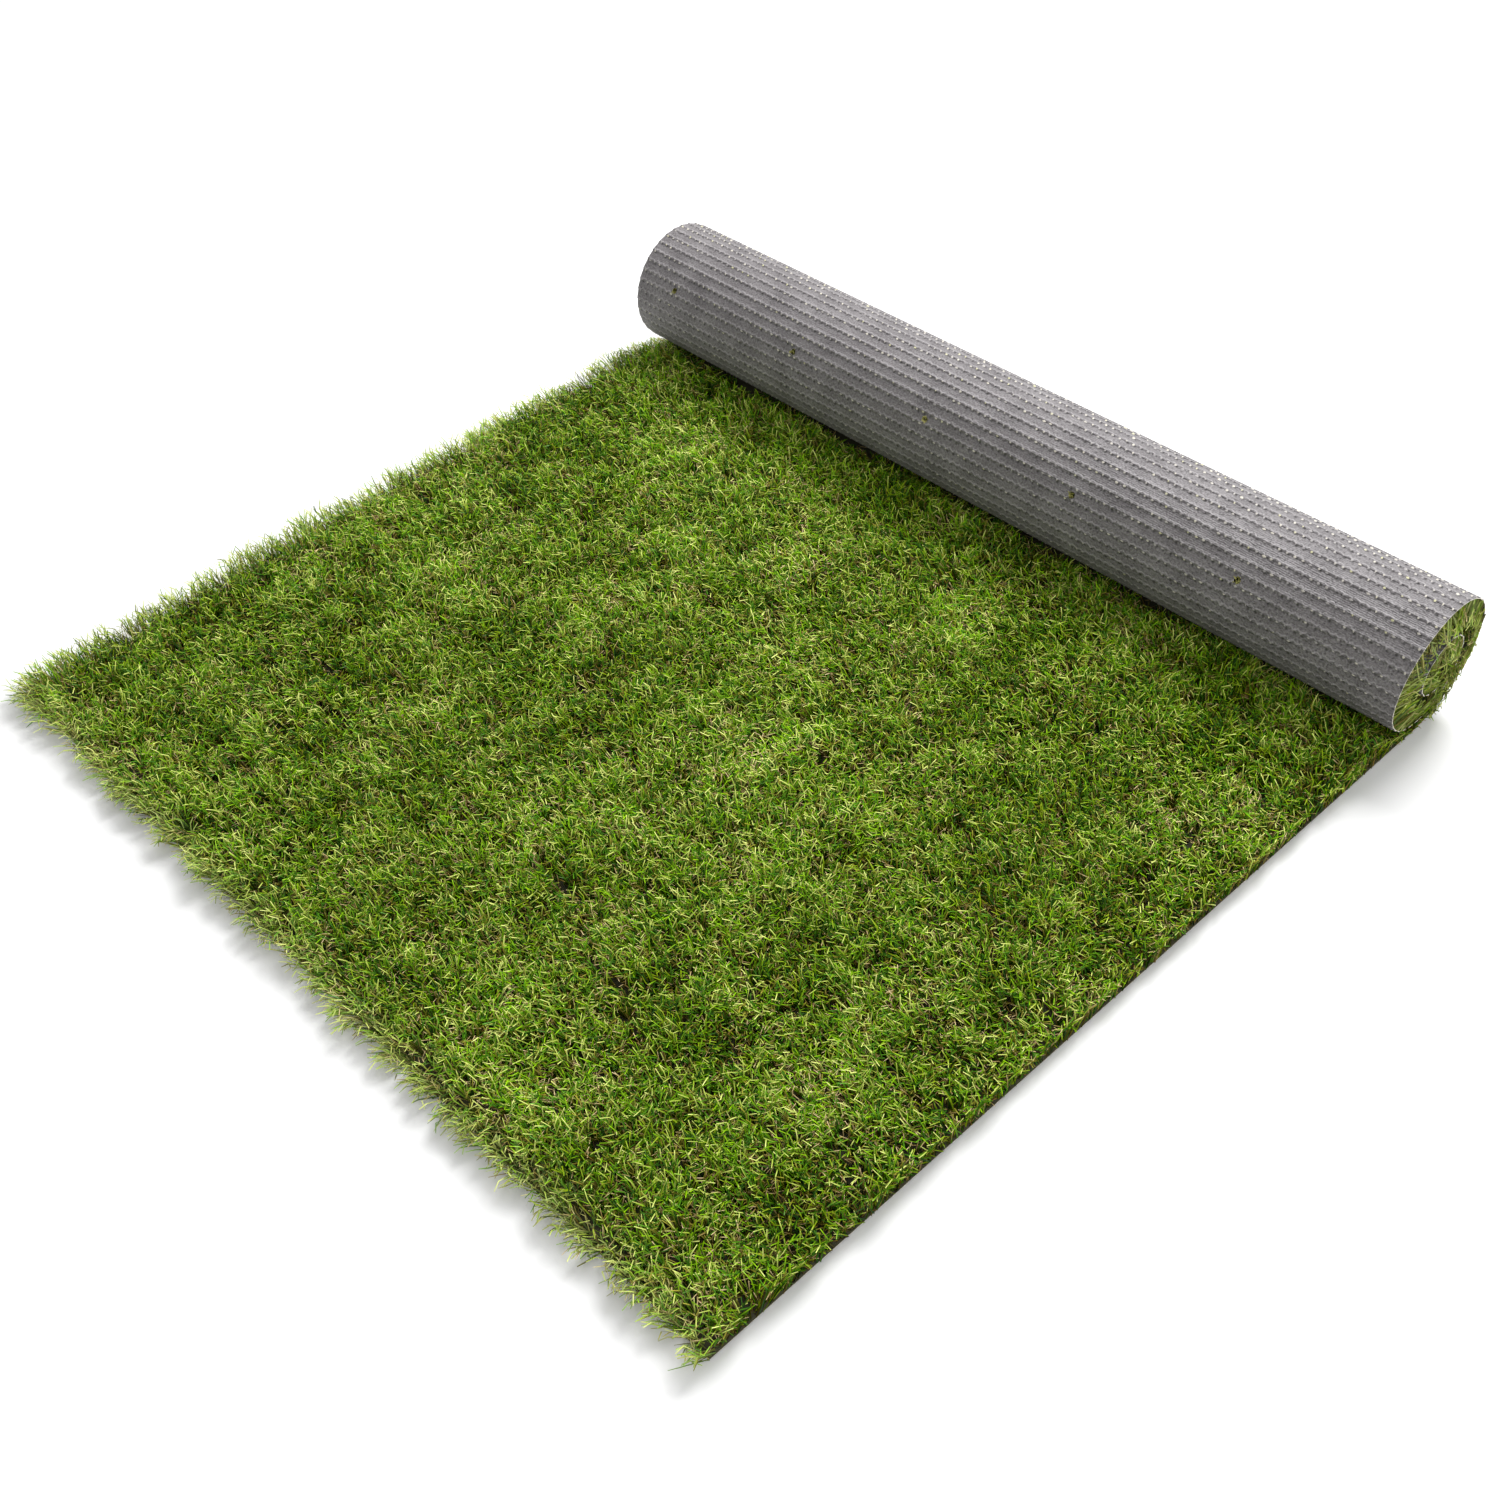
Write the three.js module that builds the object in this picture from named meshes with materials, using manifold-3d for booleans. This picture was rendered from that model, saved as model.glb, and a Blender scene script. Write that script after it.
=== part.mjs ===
// A cut piece of artificial grass, lying pile up on a level floor with its far end rolled back over itself.
// Millimetres. +X runs along the roll, +Y from the front edge to the roll, +Z up.
// The origin is under the middle of the piece, on the floor.
import * as THREE from "three";
import { mergeVertices } from "three/addons/utils/BufferGeometryUtils.js";
import Module from "manifold-3d";

// The sheet
const sheetWidth = 1000;
const flatRun = 894; // from the front edge to where the sheet leaves the floor
const backingThickness = 2;
const pileHeight = 28; // of the pile where nothing lies on it
const pileGap = 0.3; // between the backing's face and the pile

// The roll's turns, as arcs that follow on from each other, seen from its right end
const outerBackRadius = 75; // up the back, a quarter turn
const outerTopRadius = 69; // over the top, a half turn
const outerFrontRadius = 63; // down the front and under, a quarter turn
const innerBackRadius = 47; // up inside the first turn, a quarter turn
const innerRise = 12; // a straight stretch above it
const innerLoopRadius = 32; // the last loop, round the bore
const innerLoopSweep = 290; // degrees, to the sheet's rolled-in end
const roundStep = 7.5; // degrees of arc for each facet

// The pile is squashed where another turn lies on it
const turnClearance = 0.8; // between the pile and the turn that it meets
const innerPileHeight = 18; // of the pile round the bore, where it is bunched
const pileFade = 45; // the length over which the pile's height changes
const pileStation = 6; // the spacing of the pile's section lines in the roll
const flatStation = 150; // and on the flat part
const edgeRound = 9; // how far the pile's upper edge falls back at the sheet's ends

// Where it is free, the pile stands in clumps, each of several tufts that lean together
const clumpColumns = 24; // across the sheet
const clumpRows = 18; // from the front edge to where the roll comes near
const clumpRun = flatRun - 2 * outerFrontRadius;
const clumpDepth = 12; // from the highest peaks down to the hollows between the clumps
const clumpWander = 0.2; // how far peaks and hollows stray from an even grid, as a share of a clump

// Drain holes, on a square grid through the backing
const drainSpacing = 191;
const drainDiameter = 7;
const drainColumns = 5;
const drainSideMargin = 57; // from the left edge to the first column
const drainFromLift = 83.6; // from the lift line back to the nearest row on the flat part
const drainEndMargin = 12; // no hole comes nearer to an end than this
const drainSides = 10;

const wasm = await Module();
wasm.setup();

const radians = THREE.MathUtils.degToRad;

// The backing's under face as a run of straight and round stretches: points in the YZ plane,
// each with the direction of travel, its distance from the front edge along the sheet,
// and whether its pile faces the bore.
function sheetPath() {
  const path = [];
  let y = 0;
  let z = 0;
  let heading = 0;
  let along = 0;
  let facesBore = false;
  const note = () => path.push({ y, z, heading, along, facesBore });
  const straight = (length, step) => {
    const count = Math.max(1, Math.round(length / step));
    for (let i = 0; i < count; i += 1) {
      y += (length / count) * Math.cos(heading);
      z += (length / count) * Math.sin(heading);
      along += length / count;
      note();
    }
  };
  const turn = (radius, degrees) => {
    const count = Math.max(1, Math.round(degrees / roundStep));
    const angle = radians(degrees) / count;
    for (let i = 0; i < count; i += 1) {
      y += radius * (Math.sin(heading + angle) - Math.sin(heading));
      z += radius * (Math.cos(heading) - Math.cos(heading + angle));
      heading += angle;
      along += radius * angle;
      note();
    }
  };
  note();
  const reach = Math.min(flatRun, 2.5 * outerBackRadius); // the part of the flat that the roll may lie on
  straight(flatRun - reach, flatStation);
  straight(reach, pileStation);
  turn(outerBackRadius, 90);
  turn(outerTopRadius, 180);
  turn(outerFrontRadius, 90);
  facesBore = true;
  turn(innerBackRadius, 90);
  straight(innerRise, pileStation);
  turn(innerLoopRadius, innerLoopSweep);
  return path;
}

// The point at a height above the backing's under face, square to it.
const above = (station, height) =>
  new THREE.Vector2(
    station.y - height * Math.sin(station.heading),
    station.z + height * Math.cos(station.heading),
  );

// A place on the path at any distance along the sheet.
function stationAt(path, along) {
  const next = path.findIndex((station) => station.along >= along);
  const b = path[Math.max(1, next)];
  const a = path[Math.max(1, next) - 1];
  const share = (along - a.along) / (b.along - a.along);
  return {
    y: a.y + share * (b.y - a.y),
    z: a.z + share * (b.z - a.z),
    heading: a.heading + share * (b.heading - a.heading),
    along,
  };
}

// How far a line square to the sheet runs from a station before it meets another turn's under face,
// or the rolled-in end.
function roomAbove(path, station) {
  const from = above(station, 0);
  const way = above(station, 1).sub(from);
  const last = path[path.length - 1];
  const faces = path.map((other) => above(other, 0));
  faces.push(above(last, backingThickness + pileGap + innerPileHeight));
  let room = Infinity;
  for (let i = 1; i < faces.length; i += 1) {
    const a = faces[i - 1].clone().sub(from);
    const b = faces[i].clone().sub(from);
    const sideA = way.cross(a);
    const sideB = way.cross(b);
    if (sideA * sideB > 0 || sideA === sideB) continue;
    const share = sideA / (sideA - sideB);
    const distance = way.dot(a) + share * (way.dot(b) - way.dot(a));
    if (distance > 2 * backingThickness) room = Math.min(room, distance);
  }
  return room;
}

// The pile's height at each station: full where it is free, squashed under the next turn,
// and easing from one to the other over the fade length.
function pileHeights(path) {
  const foot = backingThickness + pileGap;
  const length = path[path.length - 1].along;
  const limits = path.map((station) => {
    let height = station.facesBore ? innerPileHeight : pileHeight;
    for (let offset = -pileStation; offset <= pileStation; offset += pileStation / 3) {
      const near = stationAt(path, THREE.MathUtils.clamp(station.along + offset, 0, length));
      height = Math.min(height, roomAbove(path, near) - turnClearance - foot);
    }
    return height;
  });
  return path.map((station) => {
    let height = Infinity;
    path.forEach((other, i) => {
      const away = Math.abs(other.along - station.along);
      height = Math.min(height, limits[i] + (pileHeight * Math.max(0, away - pileStation)) / pileFade);
    });
    return height;
  });
}

// A closed outline in the YZ plane, drawn along X for the sheet's width and centred on the origin.
function extruded(outline, middle) {
  const geometry = new THREE.ExtrudeGeometry(new THREE.Shape(outline), {
    depth: sheetWidth,
    bevelEnabled: false,
  });
  const turned = new THREE.Matrix4().makeBasis(
    new THREE.Vector3(0, 1, 0),
    new THREE.Vector3(0, 0, 1),
    new THREE.Vector3(1, 0, 0),
  );
  turned.setPosition(-sheetWidth / 2, -middle, 0);
  return geometry.applyMatrix4(turned);
}

function solidOf(geometry) {
  const bare = geometry.clone();
  bare.deleteAttribute("normal");
  bare.deleteAttribute("uv");
  const merged = mergeVertices(bare, 1e-3);
  return new wasm.Manifold(
    new wasm.Mesh({
      numProp: 3,
      vertProperties: merged.attributes.position.array,
      triVerts: new Uint32Array(merged.index.array),
    }),
  );
}

function geometryOf(solid) {
  const mesh = solid.getMesh();
  const geometry = new THREE.BufferGeometry();
  geometry.setAttribute("position", new THREE.BufferAttribute(mesh.vertProperties, 3));
  geometry.setIndex(new THREE.BufferAttribute(mesh.triVerts, 1));
  return geometry;
}

// One short pin for each drain hole, square to the sheet where the hole is.
function drainPins(path, middle) {
  const length = path[path.length - 1].along;
  const pins = [];
  const firstRow = (flatRun - drainFromLift) % drainSpacing;
  for (let along = firstRow; along < length - drainEndMargin; along += drainSpacing) {
    if (along < drainEndMargin) continue;
    const station = stationAt(path, along);
    for (let column = 0; column < drainColumns; column += 1) {
      const x = -sheetWidth / 2 + drainSideMargin + column * drainSpacing;
      if (x > sheetWidth / 2 - drainEndMargin) continue;
      const middleOfSheet = above(station, backingThickness / 2);
      const pin = new THREE.CylinderGeometry(
        drainDiameter / 2,
        drainDiameter / 2,
        3 * backingThickness,
        drainSides,
      );
      pin.rotateX(Math.PI / 2 + station.heading);
      pin.translate(x, middleOfSheet.x - middle, middleOfSheet.y);
      pins.push(solidOf(pin));
    }
  }
  return pins;
}

// The woven backing with its grey latex coat: one continuous sheet, with its drain holes.
function backing(path, middle) {
  const under = path.map((station) => above(station, 0));
  const upper = path.map((station) => above(station, backingThickness));
  const sheet = solidOf(extruded([...under, ...upper.reverse()], middle));
  const pierced = drainPins(path, middle).reduce((solid, pin) => solid.subtract(pin), sheet);
  const material = new THREE.MeshStandardMaterial({ color: 0x8b8890, roughness: 0.85, metalness: 0 });
  const mesh = new THREE.Mesh(geometryOf(pierced), material);
  mesh.name = "backing";
  return mesh;
}

// The space over the pile's free top, down to the hollows between its clumps. Seen from above, each clump
// has a hollow near each corner and a peak near its middle, and both stray without a pattern, from -1 to 1.
function overClumps(middle) {
  const top = backingThickness + pileGap + pileHeight;
  const sky = top + clumpDepth;
  const width = sheetWidth / clumpColumns;
  const length = clumpRun / (clumpRows - 0.5);
  const stray = (i, j, turn) => {
    const scattered = 43758.5 * Math.sin(127.1 * i + 311.7 * j + 74.7 * turn);
    return 2 * (scattered - Math.floor(scattered)) - 1;
  };
  const place = (i, j, height) =>
    new THREE.Vector3(
      (i + clumpWander * stray(i, j, 1)) * width - sheetWidth / 2,
      (j === clumpRows - 0.5 ? j : j + clumpWander * stray(i, j, 2)) * length - middle,
      height,
    );
  const hollow = (i, j) =>
    place(i - 0.5, j - 0.5, j === clumpRows ? top : top - clumpDepth * (0.85 + 0.15 * stray(i, j, 3)));
  const peak = (i, j) => place(i, j, top - clumpDepth * (0.15 + 0.12 * stray(i, j, 4)));
  const raised = (point) => new THREE.Vector3(point.x, point.y, sky);
  const corners = [];
  const wall = (a, b) => corners.push(a, b, raised(b), a, raised(b), raised(a));
  for (let j = 0; j < clumpRows; j += 1) {
    for (let i = 0; i <= clumpColumns; i += 1) {
      const round = [hollow(i, j), hollow(i + 1, j), hollow(i + 1, j + 1), hollow(i, j + 1)];
      const middlePeak = peak(i, j);
      round.forEach((a, side) => {
        const b = round[(side + 1) % 4];
        corners.push(b, a, middlePeak, raised(a), raised(b), raised(middlePeak));
      });
      if (j === 0) wall(round[0], round[1]);
      if (i === clumpColumns) wall(round[1], round[2]);
      if (j === clumpRows - 1) wall(round[2], round[3]);
      if (i === 0) wall(round[3], round[0]);
    }
  }
  return solidOf(new THREE.BufferGeometry().setFromPoints(corners));
}

// The tufted pile as one solid that follows the backing's upper face.
function grassPile(path, middle) {
  const foot = backingThickness + pileGap;
  const heights = pileHeights(path);
  const length = path[path.length - 1].along;
  const roots = path.map((station) => above(station, foot));
  const tips = path
    .map((station, i) => ({ ...station, height: foot + heights[i] }))
    .filter((station) => station.along > edgeRound && station.along < length - edgeRound)
    .map((station) => above(station, station.height));
  const front = { ...stationAt(path, edgeRound), height: foot + heights[0] };
  tips.unshift(above(path[0], foot + heights[0] / 2), above(front, front.height));
  const material = new THREE.MeshStandardMaterial({ color: 0x5f8a2c, roughness: 0.6, metalness: 0 });
  const even = solidOf(extruded([...roots, ...tips.reverse()], middle));
  const mesh = new THREE.Mesh(geometryOf(even.subtract(overClumps(middle))), material);
  mesh.name = "grass_pile";
  return mesh;
}

const path = sheetPath();
const farthest = Math.max(...path.map((station) => station.y));
const group = new THREE.Group();
group.add(backing(path, farthest / 2));
group.add(grassPile(path, farthest / 2));

export default group;
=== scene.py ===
"""A cut piece of artificial grass, laid pile up, with its far end rolled back over itself."""
import math

import bpy
import numpy as np
from mathutils import Matrix, Vector
from mathutils.bvhtree import BVHTree


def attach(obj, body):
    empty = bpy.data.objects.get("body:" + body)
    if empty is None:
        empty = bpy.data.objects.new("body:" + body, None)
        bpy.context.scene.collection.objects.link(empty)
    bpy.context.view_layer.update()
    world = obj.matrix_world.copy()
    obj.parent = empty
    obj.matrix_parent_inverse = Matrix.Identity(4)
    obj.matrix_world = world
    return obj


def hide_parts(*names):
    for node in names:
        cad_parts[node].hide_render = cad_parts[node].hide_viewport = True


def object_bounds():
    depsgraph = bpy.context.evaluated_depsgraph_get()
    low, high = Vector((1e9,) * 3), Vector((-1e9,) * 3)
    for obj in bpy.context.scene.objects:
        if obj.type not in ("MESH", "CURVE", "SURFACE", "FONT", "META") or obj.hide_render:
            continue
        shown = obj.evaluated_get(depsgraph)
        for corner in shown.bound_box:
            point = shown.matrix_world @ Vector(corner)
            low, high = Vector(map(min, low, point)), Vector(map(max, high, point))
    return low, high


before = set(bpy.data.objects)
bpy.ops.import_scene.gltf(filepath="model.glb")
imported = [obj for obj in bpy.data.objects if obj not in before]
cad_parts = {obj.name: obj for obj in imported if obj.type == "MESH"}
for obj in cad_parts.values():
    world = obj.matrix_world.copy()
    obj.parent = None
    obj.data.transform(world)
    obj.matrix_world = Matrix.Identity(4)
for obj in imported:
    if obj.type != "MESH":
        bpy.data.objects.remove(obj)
cad_low, cad_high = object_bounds()
scene = bpy.context.scene
MM = 0.001

# The camera
# It stands off the near corner and looks down along the turf at the roll, leaning a little to one side.
camera_place = Vector((0.936, -0.8265, 1.135))
camera_turn = math.radians(51.3)
camera_tilt = math.radians(48.7)
camera_lean = math.radians(-5.15)
photo_side = 1500
photo_focal = 1719
photo_middle = (675, 893)

level = math.cos(camera_tilt)
ahead = Vector((-math.sin(camera_turn) * level, math.cos(camera_turn) * level, -math.sin(camera_tilt)))
sideways = ahead.cross(Vector((0, 0, 1))).normalized()
upwards = sideways.cross(ahead)
lean_cos, lean_sin = math.cos(camera_lean), math.sin(camera_lean)
camera_right = sideways * lean_cos + upwards * lean_sin
camera_up = upwards * lean_cos - sideways * lean_sin
lens = bpy.data.cameras.new("photo_camera")
lens.sensor_width = 36
lens.lens = lens.sensor_width * photo_focal / photo_side
lens.shift_x = 0.5 - photo_middle[0] / photo_side
lens.shift_y = photo_middle[1] / photo_side - 0.5
lens.clip_start = 0.05
camera = bpy.data.objects.new("photo_camera", lens)
axes = Matrix((camera_right, camera_up, -ahead)).transposed()
camera.matrix_world = Matrix.Translation(camera_place) @ axes.to_4x4()
scene.collection.objects.link(camera)
scene.camera = camera

# The studio
# A plain white floor under a broad soft light from above and behind the roll, with pale light all round.
floor_half = 6
floor_drop = 0.5 * MM
floor_white = (0.86, 0.86, 0.86, 1)
world_strength = 0.58
key_power, key_size, key_place = 145, 1.6, Vector((-0.4, 2.2, 2.5))
fill_power, fill_size, fill_place = 10, 2.0, Vector((1.6, -1.2, 1.9))
side_power, side_size, side_place = 9, 1.0, Vector((2.6, 0.2, 0.9))
light_aim = Vector((0, 0.1, 0))

floor_mesh = bpy.data.meshes.new("floor")
floor_mesh.from_pydata(
    [(x * floor_half, y * floor_half, -floor_drop) for x, y in ((-1, -1), (1, -1), (1, 1), (-1, 1))],
    [],
    [(0, 1, 2, 3)],
)
floor = bpy.data.objects.new("floor", floor_mesh)
scene.collection.objects.link(floor)
floor_paint = bpy.data.materials.new("floor_paint")
floor_paint.use_nodes = True
floor_paint.node_tree.nodes["Principled BSDF"].inputs["Base Color"].default_value = floor_white
floor_paint.node_tree.nodes["Principled BSDF"].inputs["Roughness"].default_value = 1
floor_paint.node_tree.nodes["Principled BSDF"].inputs["Specular IOR Level"].default_value = 0
floor_mesh.materials.append(floor_paint)

world = bpy.data.worlds.new("studio")
world.use_nodes = True
world.node_tree.nodes["Background"].inputs["Color"].default_value = (1, 1, 1, 1)
world.node_tree.nodes["Background"].inputs["Strength"].default_value = world_strength
scene.world = world
scene.view_settings.view_transform = "Standard"


def add_softbox(name, power, size, place):
    light = bpy.data.lights.new(name, "AREA")
    light.energy = power
    light.size = size
    box = bpy.data.objects.new(name, light)
    box.location = place
    box.rotation_euler = (light_aim - place).to_track_quat("-Z", "Y").to_euler()
    scene.collection.objects.link(box)


add_softbox("key_light", key_power, key_size, key_place)
add_softbox("fill_light", fill_power, fill_size, fill_place)
add_softbox("side_light", side_power, side_size, side_place)

# The woven backing
# One sheet of black woven cloth with a grey latex coat on its outer face, flat on the floor and then
# rolled back over itself. The tufting pulls it into low ridges, one to each row of stitches, and drain
# holes are punched through it.
sheet_width = cad_high.x - cad_low.x
flat_run = 894 * MM
outer_back_radius = 75 * MM
outer_top_radius = 69 * MM
outer_front_radius = 63 * MM
inner_back_radius = 47 * MM
inner_rise = 12 * MM
inner_loop_radius = 32 * MM
inner_loop_sweep = math.radians(290)
quarter = math.pi / 2
sheet_stretches = (
    (flat_run, 0),
    (outer_back_radius * quarter, 1 / outer_back_radius),
    (outer_top_radius * 2 * quarter, 1 / outer_top_radius),
    (outer_front_radius * quarter, 1 / outer_front_radius),
    (inner_back_radius * quarter, 1 / inner_back_radius),
    (inner_rise, 0),
    (inner_loop_radius * inner_loop_sweep, 1 / inner_loop_radius),
)
sheet_length = sum(length for length, bend in sheet_stretches)
backing_thickness = 2 * MM
row_spacing = 191 / 16 * MM
stitch_spacing = 8.2 * MM
stitch_step = sheet_width / int(sheet_width / stitch_spacing)
ridge_height = 0.85 * MM
ridge_share = 0.88
stitch_room = 1.6 * MM
drain_spacing = 191 * MM
drain_radius = 3.5 * MM
drain_sides = 14
first_drain_row = 46.4 * MM
first_drain_column = cad_low.x + 57 * MM
drain_columns = 5
drain_end_margin = 12 * MM
row_start = first_drain_row - row_spacing / 2 - 3 * row_spacing
column_gap = 64 * MM
latex_grey = (0.104, 0.094, 0.098, 1)
latex_pale = (0.30, 0.282, 0.288, 1)
# The pits are real small holes beside the stitches; their near-black colour is painted shade.
pit_shade_colour = (0.02, 0.018, 0.016, 1)
cut_edge_colour = (0.85, 0.80, 0.68, 1)
primary_colour = (0.06, 0.055, 0.025, 1)
primary_worn = (0.05, 0.05, 0.028, 1)
weave_sway_scale, weave_sway = 150.0, 2.4 * MM
rib_spacing, rib_relief = 1.9 * MM, 0.3
grain_scale, grain_relief = 480.0, 0.9
grain_level, grain_gain = 0.25, 1.8
scallop_depth = 4.2 * MM
lump_back, lump_reach = 1.6 * MM, 3.4 * MM
pit_aside, pit_onward, pit_reach = 2.0 * MM, 0.9 * MM, 1.9 * MM
pit_patch_scale, pit_patch_level, pit_patch_gain = 210.0, 0.32, 4.0
# Painted shade: how far the pits beside the stitches and the line at the foot of each ridge's step are
# darkened.
pit_shade_strength, groove_painted_shade = 0.85, 0.12
# The crest's paleness is a painted highlight: the latex is painted paler where each ridge's crest catches the
# light.
crest_back, crest_width, painted_crest_highlight = 1.9 * MM, 1.3 * MM, 0.7
speck_scale, speck_level, speck_gain, speck_darkness = 390.0, 0.59, 8.0, 0.7
cloud_scale, tone_drop = 40.0, 0.6
latex_gloss, latex_uneven = 0.36, 0.3
relief_depth = 0.9 * MM
fray_scale, fray_gain = 700.0, 1.5


def sheet_place(along):
    """The sheet's outer face at a distance from the front edge: y, z and its direction of travel."""
    y, z, heading = cad_low.y, cad_low.z, 0.0
    for length, bend in sheet_stretches:
        step = min(max(along, 0.0), length)
        if bend:
            y += (math.sin(heading + step * bend) - math.sin(heading)) / bend
            z += (math.cos(heading) - math.cos(heading + step * bend)) / bend
            heading += step * bend
        else:
            y += step * math.cos(heading)
            z += step * math.sin(heading)
        along -= length
        if along <= 0:
            break
    return y, z, heading


def sheet_point(x, along, height):
    """A point at a height above the sheet's outer face, towards the pile."""
    y, z, heading = sheet_place(along)
    return x, y - height * math.sin(heading), z + height * math.cos(heading)


def outer_face(along):
    """How deep the coated face lies along the sheet: it rises to each row and drops behind it."""
    share = ((along - row_start) / row_spacing) % 1.0
    rise = share / ridge_share if share < ridge_share else (1 - share) / (1 - ridge_share)
    return stitch_room - ridge_height * rise


def drain_rows():
    rows = []
    along = first_drain_row
    while along < sheet_length - drain_end_margin:
        rows.append(along)
        along += drain_spacing
    return rows


def zip_loops(outer, inner):
    """Triangles between two loops round the same middle. A loop is a list of (angle, vertex), by angle."""
    faces = []
    i = j = 0
    while i < len(outer) or j < len(inner):
        next_outer = outer[(i + 1) % len(outer)][0] + (math.tau if i + 1 >= len(outer) else 0)
        next_inner = inner[(j + 1) % len(inner)][0] + (math.tau if j + 1 >= len(inner) else 0)
        a, b = outer[i % len(outer)][1], inner[j % len(inner)][1]
        if j >= len(inner) or (i < len(outer) and next_outer <= next_inner):
            faces.append((a, outer[(i + 1) % len(outer)][1], b))
            i += 1
        else:
            faces.append((a, inner[(j + 1) % len(inner)][1], b))
            j += 1
    return faces


def backing_mesh():
    """The sheet as two faces joined round its edge and round each hole, laid out flat and then rolled."""
    drains_x = [first_drain_column + i * drain_spacing for i in range(drain_columns)]
    half_cell = row_spacing / 2
    columns = {round(v, 6) for v in (cad_low.x, cad_high.x)}
    columns |= {round(x + side * half_cell, 6) for x in drains_x for side in (-1, 1)}
    columns = sorted(columns)
    for left, right in list(zip(columns, columns[1:])):
        count = int((right - left) / column_gap) + 1
        columns += [left + (right - left) * i / count for i in range(1, count)]
    columns = sorted(columns)
    first = int(math.ceil(-row_start / row_spacing))
    last = int((sheet_length - row_start) / row_spacing)
    rows = [0.0]
    for row in range(first, last + 1):
        rows += [row_start + row * row_spacing, row_start + (row + ridge_share) * row_spacing]
    rows = [v for v in rows if v < sheet_length - 1 * MM] + [sheet_length]
    holes = [(x, along) for along in drain_rows() for x in drains_x]

    places = [(x, along) for along in rows for x in columns]
    wide = len(columns)
    faces = []
    hole_loops = []
    cells = {}
    for x, along in holes:
        i = int(np.argmin([abs(c - (x - half_cell)) for c in columns]))
        j = int(np.argmin([abs(r - (along - half_cell)) for r in rows]))
        cells[(i, j)] = cells[(i, j + 1)] = None
        border = [j * wide + i, j * wide + i + 1, (j + 1) * wide + i + 1]
        border += [(j + 2) * wide + i + 1, (j + 2) * wide + i, (j + 1) * wide + i]
        ring = []
        for k in range(drain_sides):
            angle = math.tau * k / drain_sides
            ring.append(len(places))
            places.append((x + drain_radius * math.cos(angle), along + drain_radius * math.sin(angle)))

        def by_angle(vertices):
            turned = [(math.atan2(places[v][1] - along, places[v][0] - x) % math.tau, v) for v in vertices]
            return sorted(turned)

        faces += zip_loops(by_angle(border), by_angle(ring))
        hole_loops.append(ring)
    for j in range(len(rows) - 1):
        for i in range(wide - 1):
            if (i, j) not in cells:
                corner = j * wide + i
                faces.append((corner, corner + 1, corner + wide + 1, corner + wide))

    count = len(places)
    points = [sheet_point(x, along, outer_face(along)) for x, along in places]
    points += [sheet_point(x, along, backing_thickness) for x, along in places]
    walls = []
    rim = [j * wide for j in range(len(rows) - 1, 0, -1)] + list(range(wide - 1))
    rim += [j * wide + wide - 1 for j in range(len(rows) - 1)]
    rim += [(len(rows) - 1) * wide + i for i in range(wide - 1, 0, -1)]
    for a, b in zip(rim, rim[1:] + rim[:1]):
        walls.append((a, b, b + count, a + count))
    for ring in hole_loops:
        for a, b in zip(ring, ring[1:] + ring[:1]):
            walls.append((b, a, a + count, b + count))
    outer = [tuple(reversed(face)) for face in faces]
    inner = [tuple(v + count for v in face) for face in faces]
    mesh = bpy.data.meshes.new("backing_sheet")
    mesh.from_pydata(points, [], outer + inner + walls)
    slots = [0] * len(outer) + [1] * len(inner) + [2] * len(walls)
    mesh.polygons.foreach_set("material_index", slots)
    smooth = [False] * len(outer) + [True] * len(inner) + [False] * len(walls)
    mesh.polygons.foreach_set("use_smooth", smooth)
    uv = mesh.uv_layers.new(name="sheet")
    flat = [(x / sheet_width + 0.5, along / sheet_length) for x, along in places]
    for loop in mesh.loops:
        uv.data[loop.index].uv = flat[loop.vertex_index % count]
    return mesh


def add_node(tree, kind, inputs=None, **settings):
    """A new node, with its settings made, and its inputs given values or linked to other nodes' outputs."""
    node = tree.nodes.new(kind)
    for name, value in settings.items():
        setattr(node, name, value)
    for key, value in (inputs or {}).items():
        if isinstance(value, bpy.types.NodeSocket):
            tree.links.new(value, node.inputs[key])
        else:
            node.inputs[key].default_value = value
    return node


def sum_up(tree, operation, *values, clamp=False):
    """The result of a Math node on sockets or numbers."""
    math_node = add_node(tree, "ShaderNodeMath", dict(enumerate(values)), operation=operation)
    math_node.use_clamp = clamp
    return math_node.outputs[0]


def noise_over(tree, place, scale, detail, output=0):
    """A noise pattern over a place, with so many features to the metre."""
    inputs = {"Vector": place, "Scale": scale, "Detail": detail}
    return add_node(tree, "ShaderNodeTexNoise", inputs).outputs[output]


def new_material(name):
    """A material with its Principled BSDF, and its tree."""
    material = bpy.data.materials.new(name)
    material.use_nodes = True
    return material, material.node_tree, material.node_tree.nodes["Principled BSDF"]


def new_shader_group(name, inputs, outputs):
    """A shader node group with named sockets: {name: (kind, value)} and {name: kind}."""
    tree = bpy.data.node_groups.new(name, "ShaderNodeTree")
    for title, (kind, value) in inputs.items():
        socket = tree.interface.new_socket(title, in_out="INPUT", socket_type=kind)
        socket.default_value = value
    for title, kind in outputs.items():
        tree.interface.new_socket(title, in_out="OUTPUT", socket_type=kind)
    return tree, tree.nodes.new("NodeGroupInput").outputs, tree.nodes.new("NodeGroupOutput").inputs


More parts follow.
